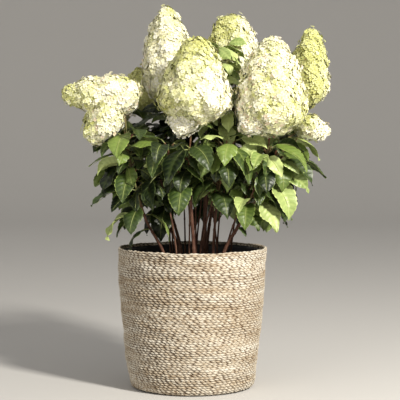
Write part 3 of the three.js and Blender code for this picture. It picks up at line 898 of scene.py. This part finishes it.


# Leaves are dealt deep, mid or fresh yellow green by chance, and those on the young upright shoot fresh
# yellow green.
# Deep green is more likely in the shade of the bush, a painted shade, and fresh green on the sunny right, a
# painted sunlight.
LEAF_TINTS = {
    "leaves_deep": ((0.005, 0.011, 0.003), (0.024, 0.043, 0.008)),
    "leaves_green": ((0.028, 0.052, 0.009), (0.125, 0.182, 0.034)),
    "leaves_fresh": ((0.170, 0.240, 0.060), (0.400, 0.475, 0.180)),
}
SHADE_REACH, SUNNY_FROM = 0.105, 0.10
DEEP_UNDER, GREEN_UNDER = 0.50, 0.86
leaf_kinds = {name: Bundle() for name in LEAF_TINTS}
stalks, stems, young_canes = Bundle(), Bundle(), Bundle()
chance = np.random.default_rng(77)
for leaf in leaves:
    root, size = leaf["root"], leaf["size"]
    inner = math.hypot(root[0] - HEART[0], root[1] - HEART[1]) < SHADE_REACH
    sunny = 0.22 * (root[0] > SUNNY_FROM)
    # Near the middle of the bush a leaf is more often deep green, a painted shade; on the right it is more
    # often fresh, a painted sunlight.
    pick = chance.random() + sunny + 1.2 * (leaf["shoot"] == "upright") - 0.28 * inner
    kind = "leaves_" + ("deep" if pick < DEEP_UNDER else "green" if pick < GREEN_UNDER else "fresh")
    blade_points, blade_faces, veins = fine_leaf(leaf, chance, QUILTS if size > 0.7 else QUILTS - 2)
    leaf_kinds[kind].add(blade_points, blade_faces, mark=veins, tone=chance.random())
    rib, _, _, rib_up = leaf_places(leaf, np.linspace(0.02, 0.88, 7))
    petiole = root + (rib[:1] - root) * np.linspace(0, 0.85, 3)[:, None]
    radii = np.concatenate([[0.0016, 0.0011, 0.0010], np.linspace(0.0010, 0.0003, 7)])
    stalk = np.concatenate([petiole, rib - rib_up * 0.0004])
    stalks.add(*tube(stalk, radii * (0.4 + 0.6 * size), 5))

for name, path in shoot_paths.items():
    share = np.linspace(0, 1, 64)
    radii = SHOOT_RADIUS + (SHOOT_TIP_RADIUS - SHOOT_RADIUS) * share
    for leaf in [each for each in main_leaves if each["shoot"] == name]:
        gap = np.linalg.norm(path.at(share) - leaf["root"], axis=1)
        radii = np.maximum(radii, (SHOOT_RADIUS + 0.0008) * np.exp(-((gap / 0.006) ** 2)))
    stems.add(*tube(path.at(share), radii, 8))
for path in young_paths:
    share = np.linspace(0, 1, 40)
    rings = bud_rings(path, share, 0.2 + 0.1 * chance.random(), 0.05, 0.0006, 0.002)
    young_canes.add(*tube(path.at(share), YOUNG_RADIUS * (1.25 - 0.5 * share) + rings, 9))
for root, tip in twigs:
    share = np.linspace(0, 1, 5)[:, None]
    sag = np.array([0, 0, 0.002]) * np.sin(math.pi * share)
    radii = np.linspace(TWIG_RADIUS * 1.3, TWIG_RADIUS, 5)
    stems.add(*tube(root * (1 - share) + tip * share - sag, radii, 6))

shoot_nodes = ["shoot_" + name for name in SHOOTS]
for name, bundle in leaf_kinds.items():
    green = Finish(name, Roughness=0.42, Specular_IOR_Level=0.42)
    low, high = LEAF_TINTS[name]
    shade = green.noise(24, 24, 24) * 0.35 + green.carried("tone") * 0.65
    red, grass, blue = high
    # Veins are painted in a paler green of their own, and the edge in the same pale tint as a painted
    # highlight.
    vein_and_edge_light_tint = (red * 1.4 + 0.095, grass * 1.3 + 0.120, blue * 1.3 + 0.040, 1)
    blade_tint = green.ramp(shade, (0.28, low), (0.72, high))
    green.feed("Base Color", green.mix(green.carried("mark") * 0.6, blade_tint, vein_and_edge_light_tint))
    green.bump(green.noise(420, 420, 420), 0.0006, 0.5)
    wear(bundle.make(name), green, "leaf", *shoot_nodes)

young = Finish("young stem", Roughness=0.55, Specular_IOR_Level=0.4)
red, olive, green = (0.16, 0.050, 0.030), (0.14, 0.105, 0.040), (0.16, 0.19, 0.06)
blush = young.noise(40, 40, 12)
young.feed("Base Color", young.ramp(blush, (0.38, red), (0.55, olive), (0.7, green)))
wear(stems.make("shoot_stems"), young, "leaf", *shoot_nodes)
wear(young_canes.make("young_canes"), bark, "bark", *shoot_nodes)
rib_green = Finish("leaf stalk", Roughness=0.5, Base_Color=(0.27, 0.30, 0.10, 1))
wear(stalks.make("leaf_stalks"), rib_green, "leaf", *shoot_nodes)


# The flower heads: cones of several hundred papery florets, each with four broad petal-like
# sepals round a tiny bud, held close together on fine branches. They open cream and age from lime.
WIDEST = 0.28
GOLDEN_ANGLE = math.pi * (3 - math.sqrt(5))
FLORET_AREA = 0.000049
FLORET = 0.0059


def head_radius(truss, s):
    """A truss's radius at shares s of its length."""
    radius, taper, point = (*truss[2:], TAPER, POINT)[:3]
    s = np.asarray(s, float)
    below = np.sqrt(np.clip(1 - ((WIDEST - s) / WIDEST) ** 2, 0, 1))
    above = np.clip(1 - np.clip((s - WIDEST) / (1 - WIDEST), 0, 1) ** taper, 0, 1) ** point
    return np.where(s < WIDEST, below, above) * radius / 1000


def spiral_over(truss, inset, crowding):
    """Evenly spread places over a truss, with the way out at each and how far up it lies."""
    base, length, along, across, up = truss_frame(truss)
    s = np.linspace(0.001, 0.999, 400)
    r = np.maximum(head_radius(truss, s) - inset, 0.0005)
    band = (r[1:] + r[:-1]) * np.hypot(np.diff(r), np.diff(s) * length) * math.pi
    area = np.concatenate([[0], np.cumsum(band)])
    count = int(area[-1] / FLORET_AREA * crowding)
    wanted = (np.arange(count) + 0.5) / count * area[-1]
    here = np.interp(wanted, area, s)
    slope = np.interp(here, s, np.gradient(r, s * length))
    turn = np.arange(count) * GOLDEN_ANGLE
    side = across * np.cos(turn)[:, None] + up * np.sin(turn)[:, None]
    places = base + along * (here * length)[:, None] + side * np.interp(here, s, r)[:, None]
    return places, unit(side - along * slope[:, None]), here


def inside_truss(places, truss, inset):
    base, length, along, _, _ = truss_frame(truss)
    from_base = places - base
    s = from_base @ along / length
    off = np.linalg.norm(from_base - along * (s * length)[:, None], axis=1)
    return (s > 0) & (s < 1) & (off < head_radius(truss, s) - inset)


# One sepal as a small cupped patch: its points along, across and up, and its triangles. The inner
# layer has a plainer one.
SEPAL = np.array(
    [
        (0.05, 0.52, 0.56, 0.52, 0.93, 0.97),
        (0, -0.50, 0, 0.50, -0.26, 0.24),
        (0.02, 0.13, 0.04, 0.13, 0.20, 0.22),
    ]
).T
SEPAL_FACES = np.array([(0, 2, 1), (0, 3, 2), (1, 2, 4), (2, 5, 4), (2, 3, 5)])
PLAIN_SEPAL = np.array(
    [(0.06, 0.6, 0.6, 1.0, 1.0), (0, -0.52, 0.52, -0.1, 0.14), (0.02, 0.12, 0.12, 0.2, 0.2)]
).T
PLAIN_FACES = np.array([(0, 2, 1), (1, 2, 4), (1, 4, 3)])
BUD = np.array([(0.1, 0, 0.05), (0, 0.1, 0.05), (-0.1, 0, 0.05), (0, -0.1, 0.05), (0, 0, 0.20)])
BUD_FACES = np.array([(0, 1, 4), (1, 2, 4), (2, 3, 4), (3, 0, 4)])


def patches(places, patch, *ways):
    """The same patch of points at each place, drawn out along three directions."""
    points = places[:, None]
    for k, way in enumerate(ways):
        points = points + way[:, None] * patch[None, :, k, None]
    return points


def florets(bundle, places, outwards, sizes, chance, sepal, sepal_faces):
    """Adds a floret at each place, facing outwards, turned and tilted by chance."""
    count = len(places)
    tilt = unit(outwards + 0.05 * UP + 0.19 * chance.normal(size=(count, 3)))
    first = unit(np.cross(tilt, chance.normal(size=(count, 3))))
    second = np.cross(tilt, first)
    parts = []
    for quarter in range(4):
        angle = (quarter * math.pi / 2 + chance.normal(0, 0.10, count))[:, None]
        out = first * np.cos(angle) + second * np.sin(angle)
        length = (sizes * chance.uniform(0.88, 1.1, count))[:, None]
        cup = chance.uniform(-0.15, 0.75, count)[:, None]
        parts.append(patches(places, sepal, out * length, np.cross(tilt, out) * length, tilt * length * cup))
    size = sizes[:, None]
    parts.append(patches(places, BUD, first * size, second * size, tilt * size))
    each = np.concatenate(parts, 1)
    faces = np.concatenate([sepal_faces + len(sepal) * k for k in range(4)] + [BUD_FACES + 4 * len(sepal)])
    all_faces = (faces[None] + each.shape[1] * np.arange(count)[:, None, None]).reshape(-1, 3)
    from_heart = np.tile(np.concatenate([np.tile(sepal[:, 0], 4), np.zeros(len(BUD))]), count)
    tone = np.repeat(chance.random(count), each.shape[1])
    bundle.add(each.reshape(-1, 3), all_faces, mark=from_heart, tone=tone)


# Broad shoulders and hollows that keep a head from being a smooth cone.
SHOULDER = 0.0034
SHOULDER_WAVES = np.array([(75.0, 25.0, 95.0), (-45.0, 95.0, 60.0)])


def shoulders(places, outwards, number):
    """How far a head's surface stands out at places on it, and the way it faces there."""
    phase = places @ SHOULDER_WAVES.T + np.array([1.7, 1.0]) * number
    swing, turn = np.sin(phase), np.cos(phase)
    slope = SHOULDER * ((turn * swing[:, ::-1]) @ SHOULDER_WAVES)
    along_surface = slope - outwards * np.sum(slope * outwards, axis=1, keepdims=True)
    return SHOULDER * swing[:, 0] * swing[:, 1], unit(outwards - along_surface)


# How lime each head still is on its greenest sides, and which way each of those sides faces.
LIME = {
    "tall": ((0.55, (-1.0, -0.3, -0.6)), (0.66, (-0.3, 0, 1))),
    "front_left": ((1.10, (-0.3, 0, 1)), (0.78, (-0.8, -0.3, -0.6))),
    "back_middle": ((1.18, (-1.0, -0.3, 0.5)),),
    "front_right": ((0.66, (-0.5, 0, 1)), (0.78, (0.9, -0.2, -0.3)), (0.72, (0.15, -1, -0.1))),
    "right": ((1.75, (-0.6, -0.5, -0.1)), (1.45, (0, 0, 1))),
    "low_right": ((0.90, (-0.4, 0, 0.6)),),
    "left": ((0.95, (-0.8, 0, -0.1)), (0.75, (0.2, 0, 1))),
    "left_back": ((1.9, (-0.3, -0.6, 0.3)),),
    "far_left": ((1.2, (0, 0, 1)),),
    "back": ((0.95, (0.2, 0.3, 1)),),
    "right_back": ((1.0, (0.5, 0.5, 1)),),
    "low_back": ((1.1, (0, 1, 0.5)),),
}
BLUSH = {"front_right": 0.22, "left": 0.10}
# How much less lime the florets of a head's second truss are dealt: on the front right head this is their
# own white, on the front left head a painted light that whitens a lobe lying in shade.
WHITE_LOBE_AND_PAINTED_LIGHT = {"front_right": 0.35, "front_left": 0.55}
PETAL_TINTS = {
    "florets_white": ((0.75, 0.73, 0.46), (0.86, 0.835, 0.73), (0.92, 0.90, 0.83)),
    "florets_cream": ((0.68, 0.66, 0.36), (0.81, 0.78, 0.58), (0.89, 0.865, 0.71)),
    "florets_pale_lime": ((0.56, 0.565, 0.23), (0.68, 0.68, 0.38), (0.81, 0.80, 0.55)),
    "florets_lime": ((0.43, 0.44, 0.13), (0.52, 0.53, 0.19), (0.70, 0.70, 0.37)),
    "florets_blush": ((0.74, 0.58, 0.38), (0.81, 0.69, 0.51), (0.87, 0.78, 0.63)),
    "florets_inner": ((0.74, 0.72, 0.38), (0.82, 0.80, 0.52), (0.89, 0.87, 0.66)),
}
SWELL, SUNK, LUMP = 0.0068, 0.0026, 0.015
LAYERS = ((0.0050, 1.0, SEPAL, SEPAL_FACES), (0.0074, 1.15, PLAIN_SEPAL, PLAIN_FACES))
LIMER_FROM = (0.39, 0.60, 0.80)
BLUSH_KIND, INNER_KIND = 4, 5
CORE_ROWS, CORE_SIDES, CORE_INSET = 15, 20, 0.018
STALK_ROWS = 12


def how_lime(name, truss, places):
    """How lime a truss is at places on it, by the nearest of its head's greenest sides."""
    middle = (np.array(truss[0]) + np.array(truss[1])) / 2000
    half = 0.5 * truss_frame(truss)[1]
    shares = []
    for amount, greenest in LIME[name]:
        facing = (places - middle) @ unit(np.array(greenest, float)) / half
        shares.append(amount * np.clip(0.5 + 0.5 * facing, 0, 1.1) ** 1.2)
    return np.max(shares, axis=0)


floret_kinds = {name: Bundle() for name in PETAL_TINTS}
cores, head_stalks = Bundle(), Bundle()
for number, (name, (stalk_foot, *trusses)) in enumerate(HEADS.items()):
    chance = np.random.default_rng(300 + number)
    for k, truss in enumerate(trusses):
        lumps, _, _ = spiral_over(truss, 0.005, 0.045)
        lumps = lumps + 0.004 * chance.normal(size=lumps.shape)
        for layer, (inset, crowding, *sepal) in enumerate(LAYERS):
            places, outwards, up_truss = spiral_over(truss, inset, crowding)
            keep = np.ones(len(places), bool)
            for other in trusses[:k] + trusses[k + 1 :]:
                keep &= ~inside_truss(places, other, 0.010)
            places, outwards, up_truss = places[keep], outwards[keep], up_truss[keep]
            count = len(places)
            nearest = np.min(np.linalg.norm(places[:, None] - lumps[None], axis=2), axis=1)
            swell = SWELL * np.exp(-((nearest / LUMP) ** 2)) - SUNK
            stray = 0.0042 * (chance.random(count) > 0.91) * (layer == 0)
            shoulder, facing_out = shoulders(places, outwards, number + 3 * k)
            scatter = chance.normal(0, 0.0009, count)
            places = places + outwards * (swell + shoulder + stray + scatter)[:, None]
            sizes = FLORET * chance.uniform(0.82, 1.1, count) * (1 - 0.18 * up_truss)
            patch = np.sin(places @ np.array([120.0, 85.0, -105.0]) + number)
            patch += np.sin(places @ np.array([-65.0, 130.0, 150.0]) + 2 * number)
            hollow = 0.15 - 29 * (swell + SUNK)
            green = how_lime(name, truss, places) + hollow + 0.06 * patch
            # Second trusses are dealt whiter; on the front left head this whitening is a painted light on a
            # shaded lobe.
            green += chance.normal(0, 0.10, count) - WHITE_LOBE_AND_PAINTED_LIGHT.get(name, 0) * (k > 0)
            kind = np.digitize(green, LIMER_FROM)
            if layer:
                kind[kind < 2] = INNER_KIND
            else:
                kind[(kind < 2) & (chance.random(count) < BLUSH.get(name, 0.03))] = BLUSH_KIND
            for which, bundle in enumerate(floret_kinds.values()):
                chosen = kind == which
                florets(bundle, places[chosen], facing_out[chosen], sizes[chosen], chance, *sepal)
        s = np.linspace(0.03, 0.95, CORE_ROWS)
        radii = np.maximum(head_radius(truss, s) - CORE_INSET, 0.002)
        core_relief = 0.002 * (chance.random((CORE_ROWS, CORE_SIDES)) - 0.5)
        cores.add(*tube(on_axis(truss, s[:, None]), radii, CORE_SIDES, core_relief))
    line = np.linspace(np.array(stalk_foot) / 1000, on_axis(trusses[0], STALK_SEAT), STALK_ROWS)
    head_stalks.add(*tube(line, np.full(STALK_ROWS, SHOOT_RADIUS), 8))

head_nodes = ["flower_head_" + name for name in HEADS]
for name, bundle in floret_kinds.items():
    glow = {"Subsurface_Weight": 0.55, "Subsurface_Scale": 0.004, "Subsurface_Radius": (1.0, 0.9, 0.6)}
    petal = Finish(name, Roughness=0.62, Specular_IOR_Level=0.3, **glow)
    petal.shader.subsurface_method = "BURLEY"
    heart, low, high = PETAL_TINTS[name]
    shade = petal.noise(60, 60, 60, detail=2.0) * 0.5 + petal.carried("tone") * 0.5
    sepal_tint = petal.ramp(shade, (0.3, low), (0.7, high))
    petal.feed("Base Color", petal.mix(petal.carried("mark") ** 0.7, (*heart, 1), sepal_tint))
    wear(bundle.make(name), petal, "blossom", *head_nodes)
branch = Finish("flower branches", Roughness=0.7, Base_Color=(0.66, 0.65, 0.34, 1))
branch.bump(branch.noise(300, 300, 300), 0.002, 0.8)
wear(cores.make("head_cores"), branch, "blossom", *head_nodes)
wear(head_stalks.make("head_stalks"), young, "leaf", *head_nodes)


# The studio: a round pale floor that curves up all round, a broad warm light high on the right in
# place of the sun, and a weaker one on the left.
FLOOR_SIDES = 96
FLAT_REACH, CURVE, STUDIO_TOP = 5.0, 3.0, 6.5
curve = np.linspace(0, math.pi / 2, 14)[1:]
floor_reach = [0.02, 1.5, 3.0, FLAT_REACH, *(FLAT_REACH + CURVE * np.sin(curve)), FLAT_REACH + CURVE]
floor_heights = [0, 0, 0, 0, *(CURVE - CURVE * np.cos(curve)), STUDIO_TOP]
floor_rings = [ring_points(full_turn(FLOOR_SIDES), r, z) for r, z in zip(floor_reach, floor_heights)]
hub_face = np.arange(FLOOR_SIDES)[None, ::-1]
floor = shape("floor", np.concatenate(floor_rings), grid_faces(len(floor_reach), FLOOR_SIDES), hub_face)
pale = Finish("pale floor", Roughness=0.8, Base_Color=(0.52, 0.51, 0.495, 1))
floor.data.materials.append(pale.material)


def softbox(name, place, aim, size, power, colour):
    """A square area light that faces a point."""
    light = bpy.data.lights.new(name, "AREA")
    light.shape = "SQUARE"
    light.size = size
    light.energy = power
    light.color = colour
    lamp = bpy.data.objects.new(name, light)
    lamp.location = place
    away = np.array(place) - np.array(aim)
    flat = math.hypot(away[0], away[1])
    lamp.rotation_euler = Euler((math.atan2(flat, away[2]), 0, math.atan2(away[0], -away[1])))
    bpy.context.scene.collection.objects.link(lamp)


softbox("key light", (1.9, -2.3, 2.25), (0, 0, 0.45), 0.40, 218, (1.0, 0.955, 0.87))
softbox("fill light", (-2.1, -2.9, 1.2), (0, 0, 0.4), 2.4, 30, (1.0, 0.96, 0.90))
world = bpy.data.worlds.new("studio")
world.use_nodes = True
world.node_tree.nodes["Background"].inputs["Color"].default_value = (1.0, 0.975, 0.94, 1)
world.node_tree.nodes["Background"].inputs["Strength"].default_value = 0.57
bpy.context.scene.world = world
bpy.context.scene.view_settings.view_transform = "Standard"
